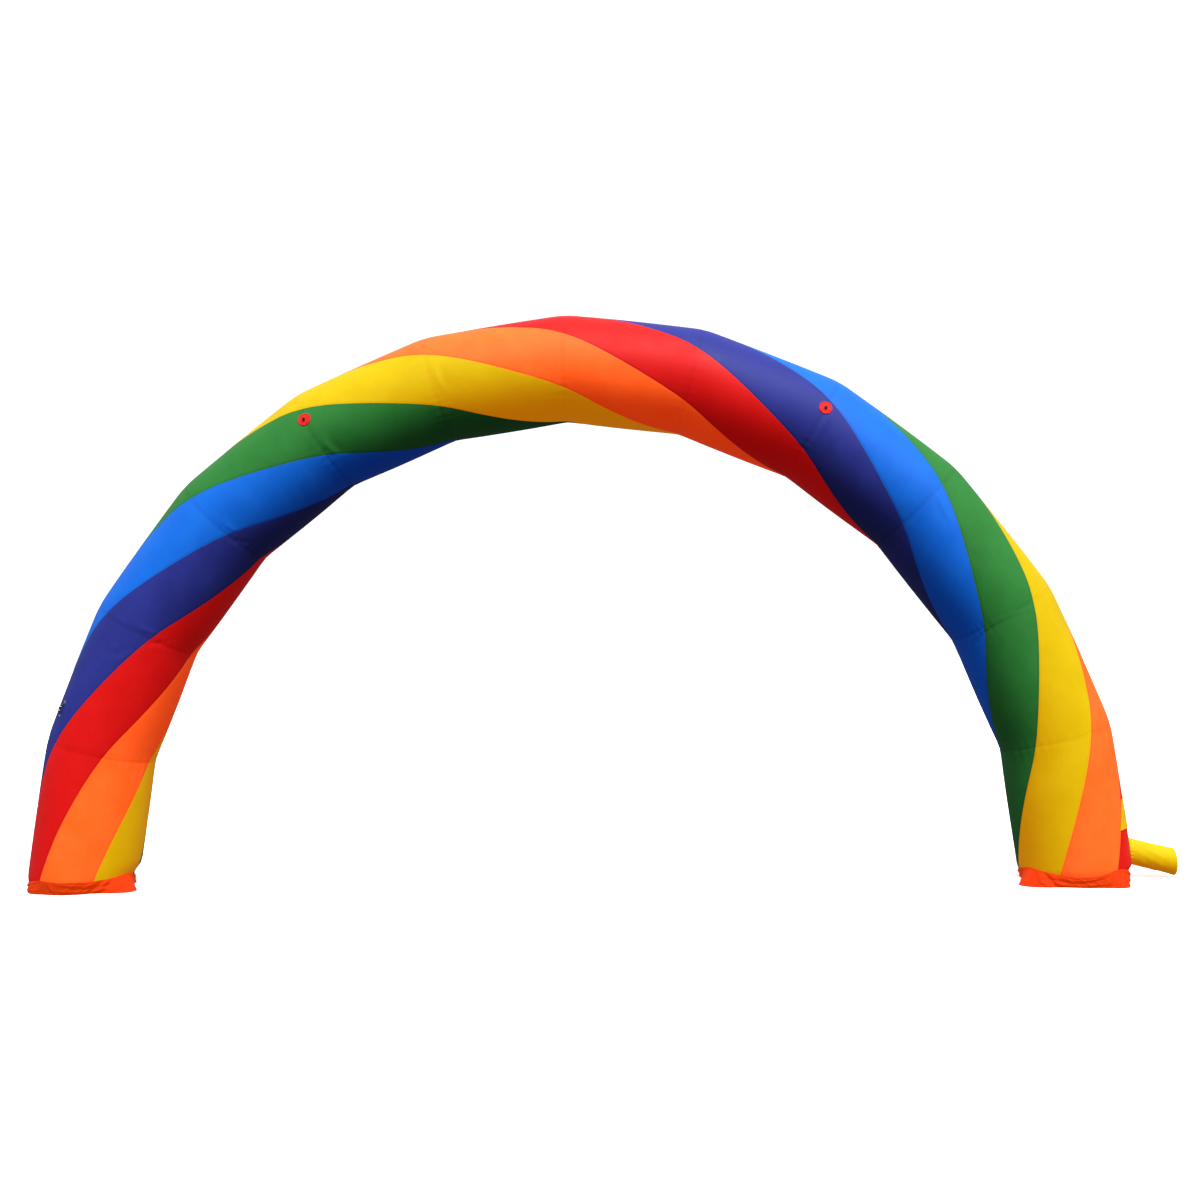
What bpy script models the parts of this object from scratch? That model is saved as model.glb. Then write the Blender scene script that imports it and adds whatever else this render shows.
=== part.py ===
# Inflatable entrance arch: a round air tube in twelve straight sections, mitred into an arch,
# its cover cut in six colours that wind round it like a barber's pole.
# Metres, +Z up. The arch stands in the XZ plane with its front toward -Y.

import math

import bpy
from mathutils import Vector

# Arch
TUBE_RADIUS = 0.48
CLOTH = 0.003  # coated cloth with its seam tape
TAPE = 0.002  # thin sewn-on patches
GAP = 0.0003
FIRST_SLOPE = 81.3  # degrees from the ground to the left leg
LEG_LENGTH = 1.28

# Sections between the two legs, from left to right: length in metres, and the bend
# in degrees of the mitre seam at the section's left end
SECTIONS = (
    {"length": 1.19, "bend": 13.6},
    {"length": 1.22, "bend": 14.7},
    {"length": 1.20, "bend": 15.1},
    {"length": 1.16, "bend": 15.5},
    {"length": 1.18, "bend": 14.6},
    {"length": 1.15, "bend": 15.6},
    {"length": 1.18, "bend": 15.1},
    {"length": 1.16, "bend": 15.3},
    {"length": 1.22, "bend": 15.0},
    {"length": 1.19, "bend": 14.7},
)
LAST_BEND = 15.0  # at the top of the right leg, which runs down to the ground

# Colour stripes of the cover, in order round the tube
STRIPES = (
    {"name": "stripe_yellow", "colour": (0.84, 0.60, 0.01)},
    {"name": "stripe_orange", "colour": (0.90, 0.15, 0.02)},
    {"name": "stripe_red", "colour": (0.68, 0.02, 0.015)},
    {"name": "stripe_navy", "colour": (0.02, 0.025, 0.20)},
    {"name": "stripe_blue", "colour": (0.01, 0.15, 0.75)},
    {"name": "stripe_green", "colour": (0.045, 0.25, 0.055)},
)
STRIPE_TWIST = 61.2  # degrees that a stripe winds in one section
STRIPE_START = 171.0  # angle of the first stripe's edge at the left foot
STRIPE_WIDTH = 360 / len(STRIPES)
STRIPE_FACETS = 5  # flat facets across one stripe
SECTION_STEPS = 5  # rings of points in one section

# Tube foot: height above the ground and share of the full radius, rounded in toward the ground
FOOT_RINGS = (
    {"height": CLOTH + GAP, "radius": 0.86},
    {"height": 0.045, "radius": 0.945},
    {"height": 0.09, "radius": 0.985},
    {"height": 0.15, "radius": 1.0},
)
LEG_STEPS = 4  # rings from the foot's top up to the first mitre seam

# Ground skirt: a loose band from the round tube to a square on the ground, highest at the
# square's corners, with the tube bulging over it at the middle of each side
SKIRT_HALF = {"front": 0.46, "side": 0.455}  # from the foot's centre to the square's sides
SKIRT_CORNER = 8.0  # power of the rounded square
SKIRT_TOP = {"front": 0.11, "side": 0.05, "corner": 0.145}
SKIRT_SLACK = 0.005  # how far the cloth stands out halfway up
SKIRT_RINGS = (0.0, 0.35, 0.7, 1.0)  # share of the way from the ground to the top
SKIRT_FACETS = 48
SKIRT_CLEAR = 0.0009  # from the tube to the top edge
GATHERS = 11
GATHER_DEPTH = 0.008
GATHER_DRIFT = 1.6  # how unevenly the gathers are spaced
FEET = (
    {"side": "left", "turn": 24.5},
    {"side": "right", "turn": 16.7},
)  # degrees that the skirt's front is turned toward the middle of the arch

# Air duct: a cloth sleeve that leaves the right foot and slopes to the ground
DUCT_RADIUS = 0.115
DUCT_SLOPE = 14.5
DUCT_MOUTH_X = 0.85  # from the right foot's centre to the open mouth
DUCT_MOUTH_HEIGHT = 0.14
DUCT_FACETS = 24
DUCT_ROOT_GAP = 2 * GAP  # keeps the root's straight edges clear of the round tube
DUCT_HEM = {"length": 0.03, "thickness": 0.006}
DUCT_RINGS = (0.0, 0.33, 0.66)  # share of the way from the root to the hem

# Flap on the right leg's outer side
FLAP_HEIGHTS = (0.44, 0.67)
FLAP_CLEAR = 0.0008  # its facets lie askew over the tube's, so a little more than GAP
FLAP_ANGLES = {"back": -27.0, "front top": 33.0, "front foot": 46.0}
FLAP_FACETS = {"across": 12, "along": 2}

# Tether points: a round patch with a webbing loop, on the front at two mitre seams
TETHERS = (
    {"name": "left", "seam": 4, "angle": 70.0},
    {"name": "right", "seam": 8, "angle": 70.0},
)
PATCH_RADIUS = 0.0575
PATCH_FACETS = 16
PATCH_RINGS = 2
PATCH_SEAT = 0.0008  # from the tube's full radius to the patch's underside
WEBBING = 0.0025
LOOP = {"width": 0.020, "foot": 0.012, "span": 0.044, "rise": 0.024, "crown": 0.018}

# Side tab: a bowed webbing handle on the left leg's outer side
TAB = {"width": 0.025, "foot": 0.022, "span": 0.15, "rise": 0.036, "crown": 0.05}
TAB_PLACE = {"section": 1, "share": 0.25, "angle": 42.0}
TAB_SEAT = -0.0008  # from the tube's full radius to the handle's feet, which lie on flat facets

# Finishes
SHARP_ANGLE = 35.0
COVER_ROUGHNESS = 0.45
CLOTHS = {
    "base": {"colour": (0.02, 0.02, 0.022), "roughness": 0.6},
    "skirt": {"colour": (0.85, 0.07, 0.02), "roughness": 0.5},
    "duct": {"colour": (0.84, 0.60, 0.01), "roughness": 0.45},
    "flap": {"colour": (0.84, 0.60, 0.01), "roughness": 0.45},
    "patch": {"colour": (0.68, 0.02, 0.015), "roughness": 0.4},
    "webbing": {"colour": (0.012, 0.012, 0.013), "roughness": 0.7},
}


def clear_scene():
    for item in list(bpy.data.objects):
        bpy.data.objects.remove(item, do_unlink=True)


def in_plane(degrees):
    """Unit vector in the XZ plane, at an angle from +X toward +Z."""
    turn = math.radians(degrees)
    return Vector((math.cos(turn), 0.0, math.sin(turn)))


class Centreline:
    """The tube's axis: its seam centres, the slope of each section and the mitre planes."""

    def __init__(self):
        slope = FIRST_SLOPE
        point = Vector((0.0, 0.0, CLOTH + GAP))
        self.seams = [point]
        self.slopes = [slope]
        self.lengths = [LEG_LENGTH]
        for row in SECTIONS:
            point = point + self.lengths[-1] * in_plane(slope)
            self.seams.append(point)
            slope -= row["bend"]
            self.slopes.append(slope)
            self.lengths.append(row["length"])
        point = point + self.lengths[-1] * in_plane(slope)
        self.seams.append(point)
        slope -= LAST_BEND
        self.slopes.append(slope)
        drop = point.z - (CLOTH + GAP)
        self.lengths.append(drop / -in_plane(slope).z)
        self.seams.append(point + self.lengths[-1] * in_plane(slope))
        middle = (self.seams[0].x + self.seams[-1].x) / 2
        for seam in self.seams:
            seam.x -= middle
        self.count = len(self.lengths)

    def plane_normal(self, seam):
        """Normal of the plane that cuts the tube at a seam; the two ends are cut level."""
        if seam in (0, self.count):
            return Vector((0.0, 0.0, 1.0))
        return in_plane((self.slopes[seam - 1] + self.slopes[seam]) / 2)

    def outward(self, section, angle):
        """Unit vector out of the tube: 0 degrees away from the arch's inside, 90 to the front."""
        turn = math.radians(angle)
        across = in_plane(self.slopes[section] + 90)
        return math.cos(turn) * across - math.sin(turn) * Vector((0.0, 1.0, 0.0))

    def seam_point(self, section, seam, angle, radius):
        """Where the line along a section at this angle and radius meets a seam's plane."""
        along = in_plane(self.slopes[section])
        offset = radius * self.outward(section, angle)
        normal = self.plane_normal(seam)
        slide = -offset.dot(normal) / along.dot(normal)
        return self.seams[seam] + offset + slide * along

    def point(self, place, angle, radius):
        """Point on the tube at a place, counted in sections from the left foot."""
        section = min(max(int(place), 0), self.count - 1)
        share = place - section
        start = self.seam_point(section, section, angle, radius)
        end = self.seam_point(section, section + 1, angle, radius)
        return start.lerp(end, share)

    def foot_place(self, side, height):
        """Place on a leg whose axis is at a height above the ground."""
        rise = self.seams[1].z if side == "left" else self.seams[-2].z
        share = (height - CLOTH - GAP) / (rise - CLOTH - GAP)
        return share if side == "left" else self.count - share


LINE = Centreline()


def cover_rings():
    """Rings of the cover from foot to foot: place along the tube and radius."""
    left = [(LINE.foot_place("left", row["height"]), TUBE_RADIUS * row["radius"]) for row in FOOT_RINGS]
    top = left[-1][0]
    left += [(top + (1 - top) * step / LEG_STEPS, TUBE_RADIUS) for step in range(1, LEG_STEPS)]
    steps = (LINE.count - 2) * SECTION_STEPS
    middle = [(1 + step / SECTION_STEPS, TUBE_RADIUS) for step in range(steps + 1)]
    right = [(LINE.count - place, radius) for place, radius in reversed(left)]
    return left + middle + right


def edge_angle(place, stripe, column):
    """Angle round the tube of a stripe's column of points."""
    start = STRIPE_START + STRIPE_TWIST * place - STRIPE_WIDTH * stripe
    return start - STRIPE_WIDTH * column / STRIPE_FACETS


def ridge_angle(place, angle):
    """The cover's facet edge nearest to an angle, on which a patch or a loop is seated."""
    step = STRIPE_WIDTH / STRIPE_FACETS
    start = edge_angle(place, 0, 0)
    return start - step * round((start - angle) / step)


def sheet_mesh(name, outer, inner, closed):
    """Closed solid between two grids of points; the columns join up where closed is set."""
    rows, columns = len(outer), len(outer[0])
    inner_start = rows * columns
    faces = []

    def corner(row, column):
        return row * columns + column % columns

    def band(a, b, c, d):
        faces.extend([(a, b, c), (a, c, d)])

    spans = columns if closed else columns - 1
    for row in range(rows - 1):
        for column in range(spans):
            a, b = corner(row, column), corner(row + 1, column)
            c, d = corner(row + 1, column + 1), corner(row, column + 1)
            band(a, b, c, d)
            a, b, c, d = (item + inner_start for item in (a, b, c, d))
            faces.extend([(a, c, b), (a, d, c)])
    for column in range(spans):
        a, b = corner(0, column), corner(0, column + 1)
        band(a, b, b + inner_start, a + inner_start)
        a, b = corner(rows - 1, column), corner(rows - 1, column + 1)
        band(b, a, a + inner_start, b + inner_start)
    if not closed:
        for row in range(rows - 1):
            a, b = corner(row, 0), corner(row + 1, 0)
            band(a, a + inner_start, b + inner_start, b)
            a, b = corner(row, columns - 1), corner(row + 1, columns - 1)
            faces.extend([(a, b + inner_start, a + inner_start), (a, b, b + inner_start)])
    points = [point for grid in (outer, inner) for row in grid for point in row]
    mesh = bpy.data.meshes.new(name)
    mesh.from_pydata(points, [], faces)
    mesh.update()
    return mesh


def paint(name, colour, roughness):
    material = bpy.data.materials.new(name)
    material.use_nodes = True
    shader = material.node_tree.nodes["Principled BSDF"]
    shader.inputs["Base Color"].default_value = (*colour, 1.0)
    shader.inputs["Roughness"].default_value = roughness
    shader.inputs["Metallic"].default_value = 0.0
    return material


def add_part(name, mesh, material, parent):
    mesh.shade_smooth()
    mesh.set_sharp_from_angle(angle=math.radians(SHARP_ANGLE))
    mesh.materials.append(material)
    part = bpy.data.objects.new(name, mesh)
    part.parent = parent
    bpy.context.collection.objects.link(part)
    return part


def stripe_mesh(name, stripe):
    """One colour of the cover: a helical band of cloth from foot to foot."""
    outer, inner = [], []
    for place, radius in cover_rings():
        inset = math.degrees(GAP / 2 / radius)
        angles = [edge_angle(place, stripe, column) for column in range(STRIPE_FACETS + 1)]
        angles[0] -= inset
        angles[-1] += inset
        outer.append([LINE.point(place, angle, radius) for angle in angles])
        inner.append([LINE.point(place, angle, radius - CLOTH) for angle in angles])
    return sheet_mesh(name, outer, inner, closed=False)


def base_mesh(name, side):
    """Level round panel that closes the tube's foot and lies on the ground."""
    place = 0 if side == "left" else LINE.count
    section = 0 if side == "left" else LINE.count - 1
    count = len(STRIPES) * STRIPE_FACETS
    radius = TUBE_RADIUS * FOOT_RINGS[0]["radius"]
    rim = [LINE.seam_point(section, place, edge_angle(place, 0, step), radius) for step in range(count)]
    if side == "right":
        rim.reverse()
    points = [(point.x, point.y, height) for height in (0.0, CLOTH) for point in rim]
    lower = tuple(range(count))
    upper = tuple(count + step for step in reversed(range(count)))
    walls = [(step, count + step, count + (step + 1) % count, (step + 1) % count) for step in range(count)]
    mesh = bpy.data.meshes.new(name)
    mesh.from_pydata(points, [], [lower, upper, *walls])
    mesh.update()
    return mesh


def foot_radius(height):
    """The tube's radius at a height inside its foot."""
    for low, high in zip(FOOT_RINGS, FOOT_RINGS[1:]):
        if height <= high["height"]:
            share = (height - low["height"]) / (high["height"] - low["height"])
            return TUBE_RADIUS * (low["radius"] + share * (high["radius"] - low["radius"]))
    return TUBE_RADIUS


def skirt_point(side, turn, share, angle, lift):
    """Point on a skirt's inner face, or lift outside it, at a share of the way up."""
    plan = math.radians(angle - turn)
    cosine, sine = abs(math.cos(plan)), abs(math.sin(plan))
    middle = SKIRT_TOP["front"] * sine**2 + SKIRT_TOP["side"] * cosine**2
    top = middle + (SKIRT_TOP["corner"] - middle) * 2 * sine * cosine
    clear = 1 / math.cos(math.pi / SKIRT_FACETS)  # straight edges clear the round tube
    seam = foot_radius(top) * clear + SKIRT_CLEAR
    reach = (cosine / SKIRT_HALF["side"]) ** SKIRT_CORNER + (sine / SKIRT_HALF["front"]) ** SKIRT_CORNER
    square = reach ** (-1 / SKIRT_CORNER)
    wave = (1 + math.sin(GATHERS * plan + GATHER_DRIFT * math.sin(2 * plan))) / 2
    slack = SKIRT_SLACK * math.sin(math.pi * share)
    radius = square + (seam - square) * share + GATHER_DEPTH * wave * (1 - share) + slack + lift
    height = max(top * share, CLOTH + GAP)
    point = LINE.point(LINE.foot_place(side, height), angle, radius)
    point.z -= height - top * share
    return point


def skirt_mesh(name, side, turn):
    step = 360 / SKIRT_FACETS
    angles = [-step * column for column in range(SKIRT_FACETS)]
    grids = []
    for lift in (CLOTH, 0.0):
        grid = [[skirt_point(side, turn, share, angle, lift) for angle in angles] for share in SKIRT_RINGS]
        grids.append(grid)
    if side == "right":
        for grid in grids:
            grid.reverse()
    return sheet_mesh(name, *grids, closed=True)


def duct_mesh(name):
    """Open sleeve: it starts on the tube's round side and ends in a hemmed, upright mouth."""
    foot = LINE.seams[-1]
    mouth = Vector((foot.x + DUCT_MOUTH_X, 0.0, DUCT_MOUTH_HEIGHT))
    along = in_plane(-DUCT_SLOPE)
    up = in_plane(90 - DUCT_SLOPE)
    leg = in_plane(LINE.slopes[-1])
    reach = TUBE_RADIUS + DUCT_ROOT_GAP

    def root_distance(start):
        """Distance back from a point to the tube's side, along the duct."""
        offset = start - foot
        across = offset - offset.dot(leg) * leg
        slant = along - along.dot(leg) * leg
        a, b = slant.dot(slant), across.dot(slant)
        return (b - math.sqrt(b * b - a * (across.dot(across) - reach * reach))) / a

    grids = []
    for offset, hem in ((0.0, DUCT_HEM["thickness"] - CLOTH), (-CLOTH, 0.0)):
        rings = [[] for _ in range(len(DUCT_RINGS) + 3)]
        for column in range(DUCT_FACETS):
            turn = 2 * math.pi * column / DUCT_FACETS
            side = math.cos(turn) * up + math.sin(turn) * Vector((0.0, 1.0, 0.0))

            def lip(radius):
                start = mouth + radius * side
                return start + (mouth.x - start.x) / along.x * along

            plain = lip(DUCT_RADIUS + offset)
            body = root_distance(plain) - DUCT_HEM["length"]
            hem_start = plain - DUCT_HEM["length"] * along
            for ring, share in enumerate(DUCT_RINGS):
                rings[ring].append(hem_start - (1 - share) * body * along)
            thick = lip(DUCT_RADIUS + offset + hem)
            rings[-3].append(hem_start)
            rings[-2].append(thick - (DUCT_HEM["length"] - CLOTH) * along)
            rings[-1].append(thick)
        grids.append(rings)
    return sheet_mesh(name, *grids, closed=True)


def flap_mesh(name):
    """Sewn flap that lies round the right leg's outer side."""
    low, high = (LINE.foot_place("right", height) for height in FLAP_HEIGHTS)
    back, top, foot = (FLAP_ANGLES[key] for key in ("back", "front top", "front foot"))
    across, along = FLAP_FACETS["across"], FLAP_FACETS["along"]
    half_step = math.radians((foot - back) / across / 2)
    seat = TUBE_RADIUS / math.cos(half_step) + FLAP_CLEAR

    def grid(radius):
        rows = []
        for row in range(along + 1):
            place = high + (low - high) * row / along
            front = top + (foot - top) * row / along
            angles = [front + (back - front) * column / across for column in range(across + 1)]
            rows.append([LINE.point(place, angle, radius) for angle in angles])
        return rows

    return sheet_mesh(name, grid(seat + TAPE), grid(seat), closed=False)


def patch_mesh(name, seam, angle):
    """Round patch that follows the tube over a mitre seam."""

    def spot(distance, turn, radius):
        side = distance * math.cos(turn)
        place = seam + side / LINE.lengths[seam if side > 0 else seam - 1]
        return LINE.point(place, angle + math.degrees(distance * math.sin(turn) / TUBE_RADIUS), radius)

    turns = [-2 * math.pi * step / PATCH_FACETS for step in range(PATCH_FACETS)]
    sizes = [PATCH_RADIUS * ring / PATCH_RINGS for ring in range(1, PATCH_RINGS + 1)]
    seat = TUBE_RADIUS + PATCH_SEAT
    points, faces = [], []
    for radius in (seat + TAPE, seat):
        points.append(spot(0.0, 0.0, radius))
        points += [spot(size, turn, radius) for size in sizes for turn in turns]
    layer = 1 + PATCH_FACETS * PATCH_RINGS
    for step in range(PATCH_FACETS):
        after = (step + 1) % PATCH_FACETS
        starts = [1 + ring * PATCH_FACETS for ring in range(PATCH_RINGS)]
        rims = [(start + step, start + after) for start in starts]
        faces += [(0, *rims[0]), (layer, layer + rims[0][1], layer + rims[0][0])]
        for (a, b), (d, c) in zip(rims, rims[1:]):
            faces += [(a, d, c), (a, c, b)]
            faces += [(layer + a, layer + c, layer + d), (layer + a, layer + b, layer + c)]
        a, b = rims[-1]
        faces.append((a, layer + a, layer + b, b))
    mesh = bpy.data.meshes.new(name)
    mesh.from_pydata(points, [], faces)
    mesh.update()
    return mesh


def strap_mesh(name, size, seat, outward, length_way):
    """Bowed strap: two flat feet, two slanted sides and a flat crown, in one thickness."""
    width_way = outward.cross(length_way)
    half, crown, rise = size["span"] / 2, size["crown"] / 2, size["rise"]
    lower = [
        (-half, 0.0),
        (size["foot"] - half, 0.0),
        (-crown, rise - WEBBING),
        (crown, rise - WEBBING),
        (half - size["foot"], 0.0),
        (half, 0.0),
    ]
    slant = math.atan2(rise - WEBBING, half - size["foot"] - crown)
    shift = WEBBING * math.tan(slant / 2)
    shifts = (0.0, -shift, -shift, shift, shift, 0.0)
    upper = [(along + move, height + WEBBING) for (along, height), move in zip(lower, shifts)]

    def place(along, height, side):
        return seat + along * length_way + height * outward + side * size["width"] / 2 * width_way

    outer = [[place(along, height, side) for side in (-1, 1)] for along, height in upper]
    inner = [[place(along, height, side) for side in (-1, 1)] for along, height in lower]
    return sheet_mesh(name, outer, inner, closed=False)


def tether_frame(seam, angle):
    """Middle of a tether patch's face, and the directions out of it and along the loop."""
    outward = (LINE.outward(seam - 1, angle) + LINE.outward(seam, angle)).normalized()
    seat = LINE.point(seam, angle, TUBE_RADIUS + PATCH_SEAT + TAPE)
    level = Vector((1.0, 0.0, 0.0))
    through = (level - level.dot(outward) * outward).normalized()
    return seat, outward, through.cross(outward)


def build():
    clear_scene()
    root = bpy.data.objects.new("arch", None)
    bpy.context.collection.objects.link(root)
    parts = []
    for index, stripe in enumerate(STRIPES):
        material = paint(stripe["name"], stripe["colour"], COVER_ROUGHNESS)
        parts.append(add_part(stripe["name"], stripe_mesh(stripe["name"], index), material, root))

    cloths = {name: paint(name, row["colour"], row["roughness"]) for name, row in CLOTHS.items()}
    for foot in FEET:
        name = foot["side"] + "_base_panel"
        parts.append(add_part(name, base_mesh(name, foot["side"]), cloths["base"], root))
        name = foot["side"] + "_skirt"
        parts.append(add_part(name, skirt_mesh(name, foot["side"], foot["turn"]), cloths["skirt"], root))

    parts.append(add_part("air_duct", duct_mesh("air_duct"), cloths["duct"], root))
    parts.append(add_part("side_flap", flap_mesh("side_flap"), cloths["flap"], root))

    for tether in TETHERS:
        angle = ridge_angle(tether["seam"], tether["angle"])
        name = tether["name"] + "_tether_patch"
        parts.append(add_part(name, patch_mesh(name, tether["seam"], angle), cloths["patch"], root))
        seat, outward, along = tether_frame(tether["seam"], angle)
        name = tether["name"] + "_tether_loop"
        mesh = strap_mesh(name, LOOP, seat, outward, along)
        parts.append(add_part(name, mesh, cloths["webbing"], root))

    place = TAB_PLACE["section"] + TAB_PLACE["share"]
    angle = ridge_angle(place, TAB_PLACE["angle"])
    seat = LINE.point(place, angle, TUBE_RADIUS + TAB_SEAT)
    outward = LINE.outward(TAB_PLACE["section"], angle)
    along = in_plane(LINE.slopes[TAB_PLACE["section"]])
    mesh = strap_mesh("side_tab", TAB, seat, outward, along)
    parts.append(add_part("side_tab", mesh, cloths["webbing"], root))

    # The origin is on the ground, under the middle of the whole part
    spans = [corner.co.x for part in parts for corner in part.data.vertices]
    root.location.x = -(min(spans) + max(spans)) / 2
    depths = [corner.co.y for part in parts for corner in part.data.vertices]
    root.location.y = -(min(depths) + max(depths)) / 2


build()
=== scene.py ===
import math

import bpy
import numpy as np
from mathutils import Matrix, Vector


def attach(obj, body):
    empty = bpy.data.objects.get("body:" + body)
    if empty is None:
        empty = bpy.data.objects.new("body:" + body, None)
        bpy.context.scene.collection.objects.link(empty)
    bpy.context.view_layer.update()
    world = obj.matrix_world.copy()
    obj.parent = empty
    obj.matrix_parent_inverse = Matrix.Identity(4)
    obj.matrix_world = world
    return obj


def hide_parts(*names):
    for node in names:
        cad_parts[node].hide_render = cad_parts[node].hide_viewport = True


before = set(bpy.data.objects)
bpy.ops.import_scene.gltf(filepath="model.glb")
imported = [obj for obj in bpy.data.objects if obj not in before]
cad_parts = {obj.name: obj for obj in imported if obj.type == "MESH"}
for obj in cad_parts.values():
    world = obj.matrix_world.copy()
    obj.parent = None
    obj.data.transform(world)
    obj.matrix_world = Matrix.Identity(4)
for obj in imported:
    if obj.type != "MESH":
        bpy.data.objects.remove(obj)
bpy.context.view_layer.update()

# An inflated entrance arch: a tube of coated cloth in six colours that wind round it.
# Metres, +Z up, front toward -Y. A place on the tube is counted in sections from the left
# foot; an angle round it is 0 away from the arch's inside and 90 to the front.

arch = {
    "radius": 0.48,
    "cloth": 0.003,
    "firstSlope": 81.3,  # degrees from the ground
    "lengths": (1.28, 1.19, 1.22, 1.20, 1.16, 1.18, 1.15, 1.18, 1.16, 1.22, 1.19),
    "bends": (13.6, 14.7, 15.1, 15.5, 14.6, 15.6, 15.1, 15.3, 15.0, 14.7, 15.0),
    "base": 0.0033,  # underside of the tube above the ground
    "middle": (-0.14036, -0.00372),  # the arch's own middle in the part's frame
    "tuck": 0.14,  # share of the radius that is drawn in at the ground
    "tuckHeight": 0.15,
    "tuckCurve": 2.4,
}

cover = {
    "twist": 61.2,  # degrees that a colour winds in one section
    "start": 171.0,
    "footTurn": (8.5, 0.6),  # degrees that it winds less at the left foot, and up to what place
    "panel": 1.19,  # usual section length, for the cloth's own coordinates
    "columns": 34,  # quads across one colour
    "rings": 40,  # quads along one section
    "crowd": (0.62, 0.55),  # of the rings toward the mitre seams, of the columns toward the edges
    "slit": 0.00015,  # half the gap between two colours
    "ease": (0.23, 0.06),  # reach in sections of the easing at a seam: in front, and outside
    # steps of the easing, as shares of its reach, and their weights
    "easeSteps": ((-1.0, 0.6), (-0.5, 1.0), (0.0, 1.2), (0.5, 1.0), (1.0, 0.6)),
    "billow": 0.007,  # how far a section swells between its mitre seams
    "groove": (0.0009, 0.020),  # depth and reach of a mitre seam
    "slack": 0.9,  # how much deeper the seam lies on the inside of the bend
    "pucker": (0.0026, 0.080, 43),  # puckers at a mitre seam: height, reach, how many round it
    "colourSeam": (0.0012, 0.010),  # depth and reach of the seam between two colours
    "gather": (0.0005, 0.045, 0.035),  # puckers along a colour seam: height, spacing and reach
    "across": 0.918,  # a colour's width square to its winding, as a share of that round the tube
    "footRings": (13, 31),  # in the lowest part of a leg, and above it
    "uneven": 0.0014,
    "footPleats": (0.004, 31),  # height, and how many round the foot
}

# Creases of the cover that lie by themselves: place, angle, lean from the tube's length in
# degrees, half length, half width, and height of the ridge in metres (a trough is negative)
creases = (
    (5.05, 86, 86, 0.13, 0.016, 0.0048), (5.10, 88, 82, 0.10, 0.020, -0.0036),
    (4.05, 109, 80, 0.09, 0.018, 0.0048), (4.11, 112, 76, 0.09, 0.026, -0.0044),
    (3.06, 111, 84, 0.07, 0.015, 0.0044), (3.03, 131, 62, 0.10, 0.018, -0.004),
    (2.05, 105, 84, 0.09, 0.014, 0.0044), (1.99, 121, 58, 0.11, 0.018, -0.0036),
    (1.74, 88, 76, 0.08, 0.013, 0.004), (1.79, 96, 40, 0.07, 0.012, 0.0032),
    (1.83, 84, 64, 0.06, 0.010, 0.0028), (1.05, 83, 84, 0.16, 0.016, 0.0014),
    (1.06, 118, 88, 0.14, 0.016, 0.0014), (0.98, 166, 12, 0.10, 0.014, 0.0044),
    (0.96, 157, 6, 0.09, 0.013, 0.004), (0.95, 174, -8, 0.11, 0.014, 0.004),
    (1.21, 58, 74, 0.09, 0.010, 0.0032), (1.26, 56, 50, 0.08, 0.010, 0.0028),
    (1.16, 50, 108, 0.08, 0.010, 0.0028), (8.05, 100, 84, 0.16, 0.014, 0.0044),
    (8.11, 99, 80, 0.14, 0.022, -0.0036), (9.08, 78, 24, 0.12, 0.014, 0.004),
    (9.12, 86, 16, 0.10, 0.016, -0.0032), (9.50, 80, -14, 0.08, 0.014, 0.0036),
    (10.00, 107, 90, 0.22, 0.014, 0.004), (10.04, 128, 70, 0.12, 0.018, -0.0036),
    (11.01, 128, 88, 0.24, 0.016, 0.0014), (11.05, 152, 30, 0.10, 0.014, 0.0036),
    (6.02, 214, 70, 0.12, 0.018, 0.004), (6.94, 236, 98, 0.13, 0.017, -0.004),
    (5.03, 262, 86, 0.12, 0.015, 0.004), (3.98, 247, 74, 0.11, 0.017, 0.0044),
    (2.96, 281, 102, 0.10, 0.014, 0.0036), (1.04, 263, 88, 0.15, 0.014, 0.004),
    (8.96, 255, 84, 0.12, 0.016, 0.004), (10.03, 272, 92, 0.13, 0.014, 0.004),
    (10.97, 241, 80, 0.12, 0.016, 0.004),
)

# Where a foot is drawn in on one side besides: place of the foot, angle and reach round the
# tube in degrees, depth, and the heights between which it comes in
tucks = (
    {"foot": 0, "angle": 204, "wide": 50, "deep": 0.048, "heights": (0.11, 0.24)},
    {"foot": 12, "angle": 14, "wide": 42, "deep": 0.034, "heights": (0.07, 0.15)},
)


def inPlane(degrees):
    # unit vector in the arch's upright plane
    turn = math.radians(degrees)
    return np.array((math.cos(turn), 0.0, math.sin(turn)))


def layCentreline():
    # the axis of the straight sections, the way they run and the planes where they meet
    slope = arch["firstSlope"]
    seam = np.array((0.0, 0.0, arch["base"]))
    seams, slopes = [seam], [slope]
    for length, bend in zip(arch["lengths"], arch["bends"]):
        seam = seam + length * inPlane(slope)
        slope -= bend
        seams.append(seam)
        slopes.append(slope)
    last = (seam[2] - arch["base"]) / -inPlane(slope)[2]  # the right leg runs to the ground
    seams.append(seam + last * inPlane(slope))
    seams = np.array(seams)
    seams[:, 0] += arch["middle"][0] - (seams[0, 0] + seams[-1, 0]) / 2
    seams[:, 1] += arch["middle"][1]
    normals = [inPlane((a + b) / 2) for a, b in zip(slopes, slopes[1:])]
    level = np.array((0.0, 0.0, 1.0))
    return {
        "seams": seams,
        "along": np.array([inPlane(s) for s in slopes]),
        "across": np.array([inPlane(s + 90) for s in slopes]),
        "normals": np.array([level, *normals, level]),
        "lengths": np.array([*arch["lengths"], last]),
        "count": len(slopes),
    }


line = layCentreline()


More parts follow.
